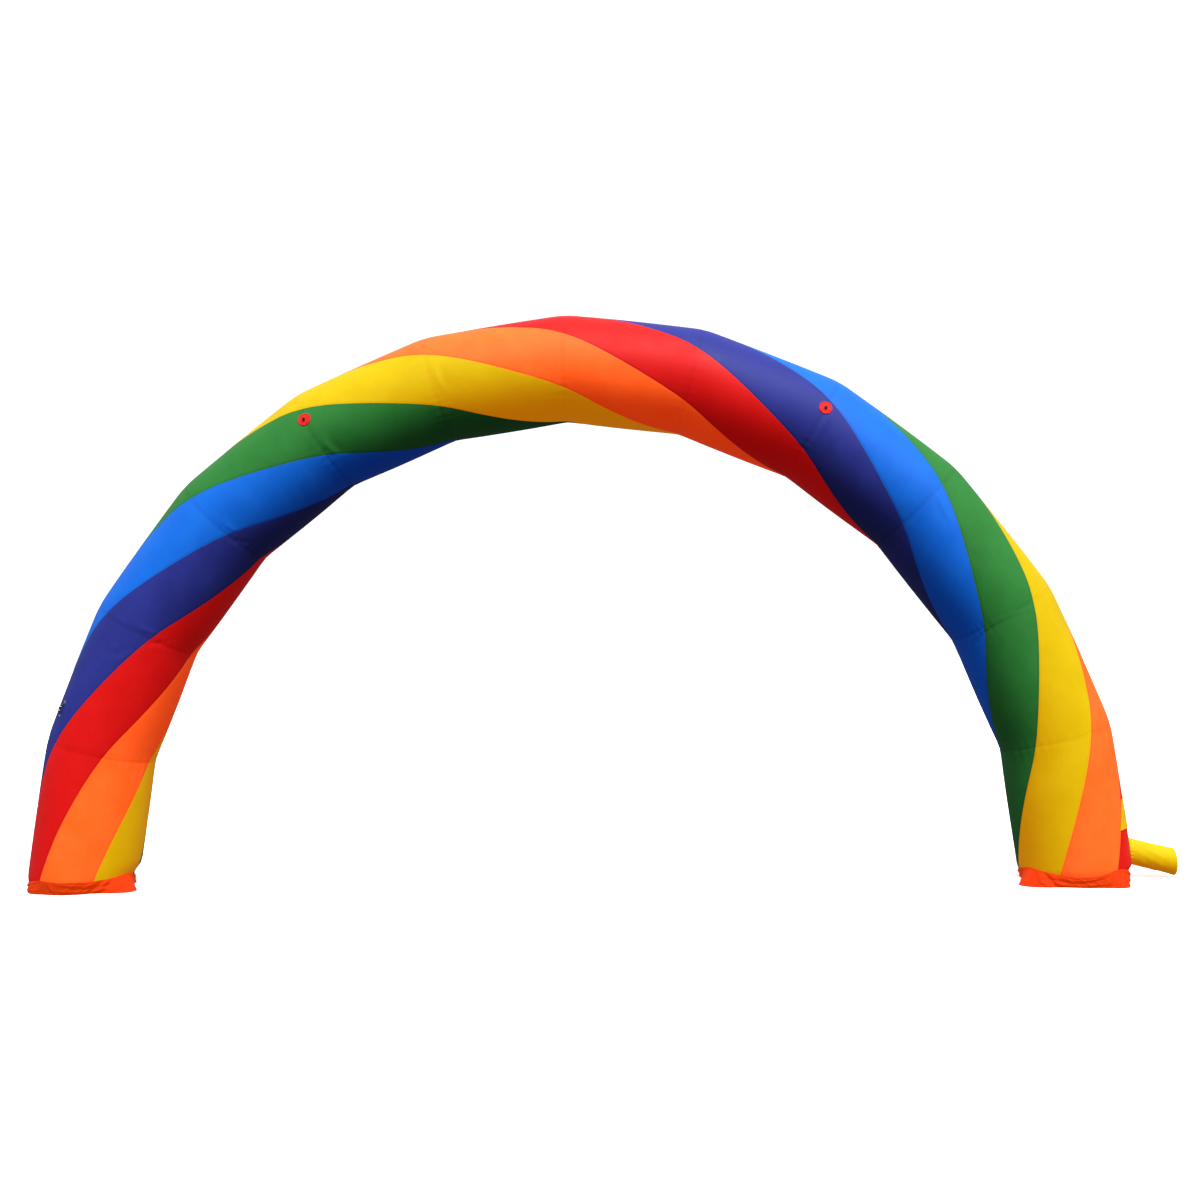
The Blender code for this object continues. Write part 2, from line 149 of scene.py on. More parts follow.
def mitredPoint(place, turn, radius):
    # point of the plain mitred tube; turn is its angle in radians
    section = np.clip(place.astype(int), 0, line["count"] - 1)
    side = np.array((0.0, 1.0, 0.0))
    turn = turn[..., None]
    offset = radius[..., None] * (np.cos(turn) * line["across"][section] - np.sin(turn) * side)
    along = line["along"][section]
    ends = []
    for seam in (section, section + 1):
        normal = line["normals"][seam]
        slide = -(offset * normal).sum(-1) / (along * normal).sum(-1)
        ends.append(line["seams"][seam] + offset + slide[..., None] * along)
    share = (place - section)[..., None]
    return ends[0] * (1 - share) + ends[1] * share


def tubePoint(place, angle, radius):
    # point of the inflated tube, whose bends are eased a little at the seams
    place, angle, radius = np.broadcast_arrays(place, angle, radius)
    turn = np.radians(angle)
    front, outside = cover["ease"]
    reach = outside + (front - outside) * np.sin(turn) ** 2
    foot = np.minimum(place, line["count"] - place)
    reach = reach * np.clip(foot * 4, 0, 1)  # none at the ground
    total = 0
    for step, weight in cover["easeSteps"]:
        total = total + weight * mitredPoint(place + step * reach, turn, radius)
    return total / sum(weight for step, weight in cover["easeSteps"])


def wrapped(degrees):
    # the same angle between -180 and 180
    return np.mod(degrees + 180, 360) - 180


def bell(distance, reach):
    # 1 in the middle, fading away past its reach
    return np.exp(-((distance / reach) ** 2))


def outward(place, angle):
    # unit vector straight out of the tube at one place
    section = min(max(int(place), 0), line["count"] - 1)
    turn = math.radians(angle)
    side = np.array((0.0, 1.0, 0.0))
    return math.cos(turn) * line["across"][section] - math.sin(turn) * side


def footHeight(place):
    # height above the ground of the axis on either leg, and far up for the rest
    left = place * (line["seams"][1][2] - arch["base"])
    right = (line["count"] - place) * (line["seams"][-2][2] - arch["base"])
    return arch["base"] + np.clip(np.minimum(left, right), 0, None)


def footPlace(side, height):
    # place where the axis of a leg is that high
    rise = line["seams"][1 if side == "left" else -2][2]
    share = (height - arch["base"]) / (rise - arch["base"])
    return share if side == "left" else line["count"] - share


def tubeRadius(place):
    # full radius, drawn in toward the ground
    low = np.clip(1 - footHeight(place) / arch["tuckHeight"], 0, 1)
    return arch["radius"] * (1 - arch["tuck"] * low ** arch["tuckCurve"])


def footTuck(place, angle):
    # how far the tucks draw a foot in
    height = footHeight(place)
    total = 0.0
    for tuck in tucks:
        low, high = tuck["heights"]
        rise = np.clip((high - height) / (high - low), 0, 1)
        rise = rise * rise * (3 - 2 * rise) * (0.4 + 0.6 * np.clip(height / low, 0, 1))
        rise = rise * (np.abs(place - tuck["foot"]) < 1)
        total = total + tuck["deep"] * rise * bell(wrapped(angle - tuck["angle"]), tuck["wide"])
    return total


def relief(place, angle):
    # how far the taut cover stands off the plain mitred tube
    place, angle = np.broadcast_arrays(np.asarray(place, float), np.asarray(angle, float))
    turn = np.radians(angle)
    section = np.clip(place.astype(int), 0, line["count"] - 1)
    share = place - section
    nearest = np.clip(np.rint(place), 1, line["count"] - 1)
    fromSeam = (place - nearest) * line["lengths"][section]
    away = np.abs(fromSeam)
    inner = np.clip(-np.cos(turn), 0, 1)  # 1 on the inside of the bend
    low = np.clip(1 - footHeight(place) / arch["tuckHeight"], 0, 1)

    lift = cover["billow"] * 4 * share * (1 - share) * (1 - low) - footTuck(place, angle)

    depth, reach = cover["groove"]
    lift = lift - depth * (1 + cover["slack"] * inner) * bell(away, reach)

    # puckers; the sums of sines make them as uneven as sewing does
    high, reach, count = cover["pucker"]
    reach = reach * (0.55 + 0.45 * np.sin(5.3 * turn + 2.1 * nearest) ** 2 + 0.35 * inner)
    strength = 0.16 + 0.10 * np.sin(3 * turn + nearest) ** 2 + 0.9 * inner ** 1.4
    strength = strength * (0.35 + 0.65 * np.sin(2.3 * turn + 1.7 * nearest) ** 2)
    wander = 1.9 * np.sin(3.1 * turn + 2.3 * nearest) + 0.8 * np.sin(7.7 * turn + nearest)
    wave = np.cos(count * turn + wander)
    nip = np.exp(-((away / reach) ** 1.3)) * (1 - 0.5 * bell(away, 0.012))
    lift = lift + high * strength * wave * nip

    slow = np.sin(2.3 * place + 1.7 * np.sin(turn + 0.6)) * np.sin(1.9 * turn + 0.8 * place)
    quick = np.sin(6.1 * place - 2.0 * turn) * np.sin(4.3 * turn + 2.7 * place + 1.1)
    lift = lift + cover["uneven"] * (slow + 0.6 * quick)

    high, count = cover["footPleats"]
    lift = lift + high * low * np.cos(count * turn + 1.4 * np.sin(3 * turn))

    for at, toward, lean, long, wide, high in creases:
        x = (place - at) * cover["panel"]
        y = wrapped(angle - toward) * math.pi / 180 * arch["radius"]
        cosine, sine = math.cos(math.radians(lean)), math.sin(math.radians(lean))
        far = (x * cosine + y * sine) / long
        near = -x * sine + y * cosine + 0.12 * long * far * far  # slightly bowed
        near = near / (wide * (1.25 - 0.25 * far))  # and narrower at one end
        lift = lift + high * np.exp(-(far ** 2) - near ** 2)
    return lift


def coverPoint(place, angle, lift=0.0):
    place, angle = np.asarray(place, float), np.asarray(angle, float)
    return tubePoint(place, angle, tubeRadius(place) + relief(place, angle) + lift)


def gridMesh(name, outer, inner, closed, cloth, panel=None):
    # closed solid between two grids of points; cloth and panel are its two sets of coordinates,
    # with one column more than the points where the columns join up
    rows, columns = outer.shape[:2]
    spans = columns if closed else columns - 1
    r, c = np.meshgrid(np.arange(rows - 1), np.arange(spans), indexing="ij")
    ring = [(r, c), (r + 1, c), (r + 1, c + 1), (r, c + 1)]
    low = rows * columns

    def number(row, column, layer=0):
        return row * columns + column % columns + layer * low

    quads = [np.stack([number(a, b) for a, b in ring], -1).reshape(-1, 4)]
    quads.append(np.stack([number(a, b, 1) for a, b in reversed(ring)], -1).reshape(-1, 4))
    spots = [np.stack([np.stack((a, b), -1) for a, b in ring], -2).reshape(-1, 4, 2)]
    spots.append(spots[0][:, ::-1])

    def wall(a, b, flip):
        # edge strip from one border of the outer grid to the same border of the inner one
        order = (a, b, b, a) if not flip else (b, a, a, b)
        layers = (0, 0, 1, 1)
        quads.append(np.stack([number(*spot, layer) for spot, layer in zip(order, layers)], -1))
        spots.append(np.stack([np.stack(np.broadcast_arrays(*spot), -1) for spot in order], -2))

    c = np.arange(spans)
    wall((0 * c, c), (0 * c, c + 1), False)
    wall((0 * c + rows - 1, c), (0 * c + rows - 1, c + 1), True)
    if not closed:
        r = np.arange(rows - 1)
        wall((r, 0 * r), (r + 1, 0 * r), True)
        wall((r, 0 * r + columns - 1), (r + 1, 0 * r + columns - 1), False)
    quads, spots = np.concatenate(quads), np.concatenate(spots).reshape(-1, 2)
    return fillMesh(name, np.concatenate((outer.reshape(-1, 3), inner.reshape(-1, 3))), quads,
                    {"cloth": cloth[spots[:, 0], spots[:, 1]],
                     "panel": (cloth if panel is None else panel)[spots[:, 0], spots[:, 1]]})


def fillMesh(name, points, quads, layers):
    mesh = bpy.data.meshes.new(name)
    mesh.vertices.add(len(points))
    mesh.vertices.foreach_set("co", np.asarray(points, np.float32).ravel())
    mesh.loops.add(quads.size)
    mesh.loops.foreach_set("vertex_index", quads.astype(np.int32).ravel())
    mesh.polygons.add(len(quads))
    mesh.polygons.foreach_set("loop_start", np.arange(0, quads.size, 4, dtype=np.int32))
    mesh.update(calc_edges=True)
    for layer, values in layers.items():
        uv = mesh.uv_layers.new(name=layer)
        uv.data.foreach_set("uv", np.asarray(values, np.float32).ravel())
    mesh.validate()
    return mesh


def show(name, data):
    thing = bpy.data.objects.new(name, data)
    bpy.context.collection.objects.link(thing)
    return thing


def addPiece(name, mesh, finish, stands=(), sharp=48):
    # a finished piece: shaded, coloured and riding on the arch
    mesh.shade_smooth()
    mesh.set_sharp_from_angle(angle=math.radians(sharp))
    mesh.materials.append(finish)
    piece = show(name, mesh)
    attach(piece, "root")
    if stands:
        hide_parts(*stands)
    return piece


def clothGrid(rows, columns, wide, long):
    # plain cloth coordinates in metres for a grid
    u, v = np.meshgrid(np.linspace(0, long, rows), np.linspace(0, wide, columns), indexing="ij")
    return np.stack((u, v), -1)


def toLinear(colour):
    values = [int(colour[start:start + 2], 16) / 255 for start in (1, 3, 5)]
    linear = [v / 12.92 if v <= 0.04045 else ((v + 0.055) / 1.055) ** 2.4 for v in values]
    return (*linear, 1.0)


def addNode(tree, kind, sockets, **settings):
    # adds a node with its settings and links, and gives back its outputs
    node = tree.nodes.new(kind)
    for key, value in settings.items():
        setattr(node, key, value)
    for key, value in sockets.items():
        if isinstance(value, bpy.types.NodeSocket):
            tree.links.new(value, node.inputs[key])
        else:
            node.inputs[key].default_value = value
    return node.outputs


def startMaterial(name):
    # a bare material, its nodes, and the cloth's own coordinates
    finish = bpy.data.materials.new(name)
    finish.use_nodes = True
    tree = finish.node_tree
    tree.nodes.clear()
    return finish, tree, addNode(tree, "ShaderNodeUVMap", {}, uv_map="cloth")[0]


def endMaterial(tree, share, shades, sockets):
    # the colour lies between two shades; the first may be a colour made before
    ends = [toLinear(shade) if isinstance(shade, str) else shade for shade in shades]
    colour = addNode(tree, "ShaderNodeMix", {0: share, 6: ends[0], 7: ends[1]}, data_type="RGBA")[2]
    shader = addNode(tree, "ShaderNodeBsdfPrincipled", {"Base Color": colour, **sockets})[0]
    addNode(tree, "ShaderNodeOutputMaterial", {0: shader})


# Polyester oxford, 420 denier, dyed in the piece and coated on the inside: smooth and even in
# colour, with a soft satin light. The warm colours and the blue carry a painted glow: a
# constant emission that stands in for daylight coming through the cloth from the air inside,
# and lightens their shaded side.
# Close to, it has fine square threads and two rows of lockstitch along each seam.
oxford = {
    "ior": 1.53,
    "specular": 0.15,
    "roughness": (0.54, 0.64),
    "sheen": 0.015,
    "sheenRoughness": 0.5,
    "threads": 0.0048,  # really 0.6 mm apart; drawn 8 times as coarse so that they show
    "sag": {"Scale": 1.5, "Detail": 1.5, "Distortion": 0.6},
    "ripple": {"Scale": 7.0, "Detail": 3.0, "Roughness": 0.55},  # soft ripples, 7 to a metre
    "mottle": {"Scale": 3.2, "Detail": 4.0, "Roughness": 0.6},
    "bumps": ((0.22, 0.02), (0.07, 0.01), (0.06, 0.001)),  # strength and depth: sag to threads
    "stitchRow": (0.010, 0.004, 0.0012),  # middle of the two rows, half their spacing, half width
    "stitch": (0.011, 0.26),  # spacing, and share of it that is bare; really 3.5 mm apart
    "raised": 3.0,  # how far a stitch stands out, in heights of the weave
}


def coatedOxford(name, shades, paintedGlow, seamEvery=0.0, shine=oxford["specular"]):
    # shades: the dyed colour, the colour in the thin places and the sewing thread; the glow is
    # painted light, a constant emission that stands in for light coming through the cloth and
    # lightens the shaded side; seamEvery is the length of a section where the panel's
    # first coordinate counts sections
    finish, tree, cloth = startMaterial(name)
    panel = addNode(tree, "ShaderNodeUVMap", {}, uv_map="panel")[0]
    spot = addNode(tree, "ShaderNodeSeparateXYZ", {0: panel})

    sag, ripple, mottle = (
        addNode(tree, "ShaderNodeTexNoise", {"Vector": cloth, **oxford[kind]})[0]
        for kind in ("sag", "ripple", "mottle"))

    # threads: two sine waves at right angles
    turns = addNode(tree, "ShaderNodeVectorMath",
                    {0: cloth, 1: (2 * math.pi / oxford["threads"],) * 3}, operation="MULTIPLY")[0]
    waves = addNode(tree, "ShaderNodeVectorMath", {0: turns}, operation="SINE")[0]
    wave = addNode(tree, "ShaderNodeSeparateXYZ", {0: waves})
    weave = addNode(tree, "ShaderNodeMath", {0: wave[0], 1: wave[1]}, operation="MULTIPLY")[0]

    # lockstitch: dashes in two rows beside the nearest seam
    away = spot[1]
    if seamEvery:
        turn = addNode(tree, "ShaderNodeMath", {0: spot[0], 1: 0.5}, operation="PINGPONG")[0]
        far = addNode(tree, "ShaderNodeMath", {0: turn, 1: seamEvery}, operation="MULTIPLY")[0]
        away = addNode(tree, "ShaderNodeMath", {0: away, 1: far}, operation="MINIMUM")[0]
    middle, apart, half = oxford["stitchRow"]
    away = addNode(tree, "ShaderNodeMath", {0: away, 1: middle}, operation="SUBTRACT")[0]
    away = addNode(tree, "ShaderNodeMath", {0: away}, operation="ABSOLUTE")[0]
    rows = addNode(tree, "ShaderNodeMath", {0: away, 1: apart, 2: half}, operation="COMPARE")[0]
    run = addNode(tree, "ShaderNodeVectorMath", {0: cloth, 1: (1.0, 1.0, 0.0)},
                  operation="DOT_PRODUCT")[1]
    spacing, bare = oxford["stitch"]
    run = addNode(tree, "ShaderNodeMath", {0: run, 1: spacing}, operation="DIVIDE")[0]
    run = addNode(tree, "ShaderNodeMath", {0: run}, operation="FRACT")[0]
    dash = addNode(tree, "ShaderNodeMath", {0: run, 1: bare}, operation="GREATER_THAN")[0]
    stitches = addNode(tree, "ShaderNodeMath", {0: rows, 1: dash}, operation="MULTIPLY")[0]

    thin = addNode(tree, "ShaderNodeMapRange", {0: mottle, 1: 0.35, 2: 0.75})[0]
    dyed, pale, sewn = shades
    colour = addNode(tree, "ShaderNodeMix", {0: thin, 6: toLinear(dyed), 7: toLinear(pale)},
                     data_type="RGBA")[2]
    smooth, rough = oxford["roughness"]
    roughness = addNode(
        tree, "ShaderNodeMapRange", {0: mottle, 1: 0.3, 2: 0.7, 3: smooth, 4: rough})[0]
    threads = addNode(tree, "ShaderNodeMath", {0: stitches, 1: oxford["raised"], 2: weave},
                      operation="MULTIPLY_ADD")[0]
    normal = {}  # each bump lies on the one before
    for height, (strength, depth) in zip((sag, ripple, threads), oxford["bumps"]):
        normal["Normal"] = addNode(tree, "ShaderNodeBump", {
            "Height": height, "Distance": depth, "Strength": strength, **normal})[0]
    # painted glow: the emission set below lightens the cloth's shaded side, standing in for light
    # through it
    endMaterial(tree, stitches, (colour, sewn), {
        "Roughness": roughness, "IOR": oxford["ior"], "Specular IOR Level": shine,
        "Sheen Weight": oxford["sheen"], "Sheen Roughness": oxford["sheenRoughness"],
        "Emission Color": toLinear(paintedGlow), "Emission Strength": 1.0, **normal})
    return finish


# Polyester webbing, black: a matt ribbed tape. Ribs run along it and picks run across.
webbing = {
    "ior": 1.5,
    "roughness": 0.72,
    "shades": ("#08090b", "#18191c"),
    "ribs": 0.0032,  # real ribs are 1.6 mm apart; drawn twice as coarse
    "picks": 0.0024,
    "bump": 0.7,
}


def wovenWebbing(name):
    finish, tree, cloth = startMaterial(name)
    pitch = (math.pi / webbing["picks"], math.pi / webbing["ribs"], 0.0)
    turns = addNode(tree, "ShaderNodeVectorMath", {0: cloth, 1: pitch}, operation="MULTIPLY")[0]
    waves = addNode(tree, "ShaderNodeVectorMath", {0: turns}, operation="SINE")[0]
    waves = addNode(tree, "ShaderNodeVectorMath", {0: waves}, operation="ABSOLUTE")[0]
    height = addNode(tree, "ShaderNodeVectorMath", {0: waves, 1: (0.35, 0.65, 0.0)},
                     operation="DOT_PRODUCT")[1]
    bump = addNode(tree, "ShaderNodeBump", {
        "Height": height, "Strength": webbing["bump"], "Distance": 0.001})[0]
    # the colour follows the weave's height: painted shade, darker in the grooves than on the raised
    # ribs and picks
    endMaterial(tree, height, webbing["shades"], {
        "Roughness": webbing["roughness"], "IOR": webbing["ior"], "Normal": bump})
    return finish


# PVC-coated tarpaulin, black: dull and slightly embossed, with scuffs from the ground
tarpaulin = {
    "ior": 1.54,
    "roughness": (0.58, 0.85),  # clean and scuffed
    "shades": ("#1c1d20", "#3a3b3d"),
    "emboss": 0.006,
}


def coatedTarpaulin(name):
    finish, tree, cloth = startMaterial(name)
    scuff = addNode(tree, "ShaderNodeTexNoise", {
        "Vector": cloth, "Scale": 14.0, "Detail": 8.0, "Roughness": 0.7})[0]
    emboss = addNode(tree, "ShaderNodeTexVoronoi", {
        "Vector": cloth, "Scale": 1 / tarpaulin["emboss"]})[0]
    worn = addNode(tree, "ShaderNodeMapRange", {0: scuff, 1: 0.5, 2: 0.75})[0]
    clean, scuffed = tarpaulin["roughness"]
    roughness = addNode(tree, "ShaderNodeMapRange", {0: worn, 3: clean, 4: scuffed})[0]
    bump = addNode(tree, "ShaderNodeBump", {
        "Height": emboss, "Strength": 0.35, "Distance": 0.001})[0]
    endMaterial(tree, worn, tarpaulin["shades"], {
        "Roughness": roughness, "IOR": tarpaulin["ior"], "Normal": bump})
    return finish


# Bonded polyester thread, white: slightly glossy, with a fine twist
thread = {"ior": 1.52, "roughness": 0.5, "shades": ("#c9c7c0", "#f2f1ec")}


def bondedThread(name):
    finish, tree, cloth = startMaterial(name)
    twist = addNode(tree, "ShaderNodeTexWave", {"Vector": cloth, "Scale": 2.0, "Distortion": 0.5},
                    bands_direction="DIAGONAL")[1]
    bump = addNode(tree, "ShaderNodeBump", {
        "Height": twist, "Strength": 0.4, "Distance": 0.0003})[0]
    # the colour follows the twist's height: painted shade, darker in its grooves than on its ridges
    endMaterial(tree, twist, thread["shades"], {
        "Roughness": thread["roughness"], "IOR": thread["ior"], "Normal": bump})
    return finish


threadFinish = bondedThread("bonded_thread")


def addThreads(name, points, quads):
    square = ((0, 0), (0, 1), (1, 1), (1, 0))
    mesh = fillMesh(name, points, np.array(quads), {"cloth": np.tile(square, (len(quads), 1))})
    addPiece(name, mesh, threadFinish)


# The cover: six bands of cloth that wind from foot to foot
# each band's glow is painted light: an emission that lightens its shaded side
bands = (
    {"name": "yellow", "shades": ("#989a00", "#a2a403", "#988400"), "paintedGlow": "#ac5800",
     "shine": 0.07},
    {"name": "orange", "shades": ("#f05f18", "#f66b26", "#cf4d10"), "paintedGlow": "#b22200"},
    {"name": "red", "shades": ("#bc0704", "#c60d0a", "#980805"), "paintedGlow": "#740000"},
    {"name": "navy", "shades": ("#22297a", "#283086", "#181c56"), "paintedGlow": "#000000"},
    {"name": "blue", "shades": ("#0460c3", "#0a69cc", "#0a4799"), "paintedGlow": "#000042"},
    {"name": "green", "shades": ("#236e28", "#2a7730", "#174f1c"), "paintedGlow": "#000000"},
)


def crowded(count, strength):
    # shares from 0 to 1 that crowd toward both ends
    t = np.linspace(0, 1, count + 1)
    return t - strength * np.sin(2 * math.pi * t) / (2 * math.pi)


def coverPlaces():
    lowest, upper = cover["footRings"]
    foot = footPlace("left", arch["tuckHeight"])
    rise = foot * (1 - np.linspace(1, 0, lowest) ** 1.3)
    leg = foot + (1 - foot) * np.sin(np.linspace(0, math.pi / 2, upper)[1:])
    shares = crowded(cover["rings"], cover["crowd"][0])[1:]
    middle = [section + shares for section in range(1, line["count"] - 1)]
    leg = np.concatenate((rise, leg))
    right = line["count"] - leg[::-1]
    return np.concatenate((leg, *middle, right[1:]))


def clothSpot(places, angles):
    # the band's own coordinates: metres along it and across it
    winding = math.radians(cover["twist"]) * arch["radius"] / cover["panel"]
    lean = math.atan(winding)
    x = places * cover["panel"]
    y = np.radians(angles) * arch["radius"]
    return x * math.cos(lean) + y * math.sin(lean), -x * math.sin(lean) + y * math.cos(lean)


def makeBand(index, band):
    width = 360 / len(bands)
    places = coverPlaces()[:, None]
    share = crowded(cover["columns"], cover["crowd"][1])[None, :]
    slit = np.degrees(cover["slit"] / arch["radius"])
    first = cover["start"] + cover["twist"] * places - width * index
    turn, reach = cover["footTurn"]
    first = first + turn * np.clip(1 - places / reach, 0, 1) ** 2
    angles = first - slit - (width - 2 * slit) * share
    lift = relief(places, angles)
    edge = np.radians(width) * arch["radius"] * cover["across"] * np.minimum(share, 1 - share)
    seam = first - width * (share > 0.5)
    along = clothSpot(places, seam)[0]
    high, spacing, reach = cover["gather"]
    ruffle = np.sin(2 * math.pi * along / spacing + 2.2 * np.sin(along * 1.9))
    ruffle = ruffle * (0.4 + 0.6 * np.sin(along * 2.7 + index) ** 2) * bell(edge, reach)
    depth, reach = cover["colourSeam"]
    lift = lift - depth * bell(edge, reach) + high * ruffle
    radius = tubeRadius(places) + lift
    outer = tubePoint(places, angles, radius)
    inner = tubePoint(places, angles, radius - arch["cloth"])
    cloth = np.stack(clothSpot(places, angles), -1)
    panel = np.stack(np.broadcast_arrays(places, edge), -1)
    mesh = gridMesh(band["name"] + "_band", outer, inner, False, cloth, panel)
    finish = coatedOxford("coated_oxford_" + band["name"], band["shades"], band["paintedGlow"],
                          cover["panel"], band.get("shine", oxford["specular"]))
    stands = "stripe_" + band["name"]
    piece = addPiece(band["name"] + "_band", mesh, finish, [stands])


for index, band in enumerate(bands):
    makeBand(index, band)
print("cover: six bands wound from foot to foot")

# Ground panel: it closes a foot and fills the drawn-in ring
basePanel = {"cells": 40, "thick": 0.003, "share": 0.86, "puckers": (0.0008, 38)}


def discGrid(cells):
    # a square grid bent into a disc: share of the radius and turn of each point
    a, b = np.meshgrid(np.linspace(-1, 1, cells + 1), np.linspace(-1, 1, cells + 1), indexing="ij")
    x, y = a * np.sqrt(1 - b * b / 2), b * np.sqrt(1 - a * a / 2)
    return np.hypot(x, y), np.arctan2(y, x)


def makeBase(side):
    at = 0.0 if side == "left" else float(line["count"])
    share, turn = discGrid(basePanel["cells"])
    middle = line["seams"][int(at)]
    rim = tubePoint(at, -np.degrees(turn), arch["radius"] * basePanel["share"])
    lower = middle + (rim - middle) * share[..., None]
    upper = lower.copy()
    lower[..., 2] = 0.0
    high, count = basePanel["puckers"]
    pucker = high * (1 + np.cos(count * turn + 2 * np.sin(3 * turn)))
    upper[..., 2] = basePanel["thick"] - pucker * np.clip(3 * share - 2, 0, 1)
    if side == "right":
        lower, upper = lower[::-1], upper[::-1]
    mesh = gridMesh(side + "_ground_panel", upper, lower, False, lower[..., :2] - middle[:2])
    finish = coatedTarpaulin("pvc_tarpaulin_" + side)
    piece = addPiece(side + "_ground_panel", mesh, finish, [side + "_base_panel"])


for side in ("left", "right"):
    makeBase(side)
print("feet: ground panels laid")

# Skirt: a loose band of cloth from the tube down to the ground. It is pulled out at four
# corners, so that it hangs in rolls between them and in pleats.
skirt = {
    "ground": {"left": 0.446, "right": 0.462},  # radius on the ground between the corners
    "tops": (0.11, 0.05, 0.145),  # height in front, at the sides and at the corners
    "dip": {"left": (-46, 30, 0.026), "right": (14, 32, 0.034)},  # where its top hangs lower:
    # degrees toward the right of the front, reach, depth
    "slack": 0.003,  # how far it bellies out
    "columns": 480,
    "rings": 30,
    "clear": 0.0045,  # from the tube
    "thick": 0.0022,
    "turn": {"left": 24.5, "right": 16.7},  # degrees that its top is turned toward the middle
    "hem": (0.0018, 0.020, 0.004),  # depth, height and reach of the line of hem stitches
    "topWave": (0.004, 9),  # height of the waves of its top edge, and how many
    "gathers": (0.002, 11, 0.0016, 37),  # soft gathers and fine ones: height, and how many
    "crumple": (0.011, 27, 3.2),  # sharp slanted folds: height, how many, and their slant
    "calm": 0.09,  # how far a corner is pulled out where it has no such folds any more
    "flat": (0.15, 3.3),
    "shades": ("#9c1f04", "#a82908", "#8a1a06"),
    # painted glow: an emission that lightens the skirt's shaded parts
    "paintedGlow": "#ae2f00",
    "shine": 0.04,
}

# Corners of a skirt on the ground, and a place where it lies in: degrees from the front toward
# the arch's middle, how far it is pulled out, and its reach in degrees before and after
corners = {
    "left": (
        (62, 0.216, 17, 18),
        (-42, 0.040, 14, 12),
        (-113, 0.130, 14, 14),
        (157, 0.160, 16, 16),
    ),
    "right": (
        (58, 0.198, 21, 15.5),
        (-31, 0.090, 14, 14),
        (-82, -0.040, 30, 24),
        (-116, 0.120, 14, 14),
        (153, 0.150, 16, 16),
    ),
}

# Rolls of each side of a skirt: share of its height in the middle and at the corners, width as
# a share, and how far it stands out
rolls = (
    {"middle": 0.70, "corner": 0.95, "wide": 0.11, "out": 0.008},
    {"middle": 0.47, "corner": 0.78, "wide": 0.06, "out": -0.014},
    {"middle": 0.12, "corner": 0.42, "wide": 0.12, "out": 0.012},
)

# Pleats: degrees from the middle of the front toward its right, at the ground and at the top;
# width in degrees, and how far the pleat stands out
pleats = {
    "left": (
        (5, 17, 2.4, -0.024), (10, 22, 2.6, 0.018), (-1, 8, 2.6, 0.010),
        (17, 29, 2.2, -0.014), (24, 37, 2.6, 0.014), (30, 44, 2.4, -0.014),
        (38, 51, 2.8, 0.012), (-30, -41, 2.8, 0.008), (-36, -44, 2.0, -0.008),
        (66, 58, 3.2, 0.010), (-71, -62, 3.0, 0.009), (148, 160, 3.0, -0.012),
        (-152, -141, 2.8, 0.012),
    ),
    "right": (
        (-16, -30, 2.6, -0.020), (-23, -35, 2.8, 0.018), (-12, -22, 2.6, 0.009),
        (-36, -42, 2.0, -0.009), (30, 38, 2.4, 0.007), (37, 42, 1.8, -0.007),
        (-64, -55, 3.0, 0.008), (66, 57, 3.2, 0.006), (155, 143, 2.8, -0.012),
        (-147, -158, 3.0, 0.011),
    ),
}


def skirtTop(side, around, toRight):
    # height of its top edge, and how cornered it is: 1 at the corners of a square
    cosine, sine = np.abs(np.cos(around)), np.abs(np.sin(around))
    front, aside, atCorner = skirt["tops"]
    middle = front * sine ** 2 + aside * cosine ** 2
    cornered = 2 * sine * cosine
    top = middle + (atCorner - middle) * cornered
    at, reach, deep = skirt["dip"][side]
    top = top - deep * bell(toRight - at, reach)
    high, count = skirt["topWave"]
    return top + high * np.sin(count * around + 1.3 * np.sin(2 * around)), cornered


def skirtOutline(side, toRight):
    # radius on the ground
    turn = skirt["turn"][side]
    toMiddle = toRight + turn if side == "left" else turn - toRight
    outline = skirt["ground"][side] + 0 * toRight
    for at, out, before, after in corners[side]:
        away = wrapped(toMiddle - at)
        outline = outline + out * bell(away, np.where(away < 0, before, after))
    return outline


def skirtFolds(side, around, toRight, share, cornered, loose):
    # how far gathers, crumples, rolls and pleats stand out; the odd phases make them uneven
    slack = np.sin(math.pi * share)
    high, count, fine, fineCount = skirt["gathers"]
    wave = 1 + np.sin(count * around + 1.6 * np.sin(2 * around))
    small = np.sin(fineCount * around + 2.6 * np.sin(3 * around)) * np.sin(5 * around + 0.7) ** 2
    folds = skirt["slack"] * slack + (high * wave + fine * small) * (1 - 0.7 * share)
    high, count, slant = skirt["crumple"]
    slant = slant if side == "left" else -slant
    fold = count / 2 * np.radians(toRight) - slant * share + 1.2 * np.sin(3 * around)
    fold = (1 - np.abs(np.sin(fold))) ** 3 - 0.2
    folds = folds + high * fold * slack * loose * (0.3 + 0.7 * np.sin(2.5 * around + 0.9) ** 2)
    for roll in rolls:
        ridge = roll["middle"] + (roll["corner"] - roll["middle"]) * cornered ** 1.6
        drift = 0.05 * np.sin(2.7 * around + 9 * roll["middle"])
        strength = (1 - 0.4 * np.sin(5 * around) ** 2) * (1 - cornered ** 3)
        folds = folds + roll["out"] * bell(share - ridge - drift, roll["wide"]) * strength
    for low, high, wide, out in pleats[side]:
        ridge = low + (high - low) * share
        folds = folds + out * slack ** 0.6 * bell(toRight - ridge, wide)
    return folds


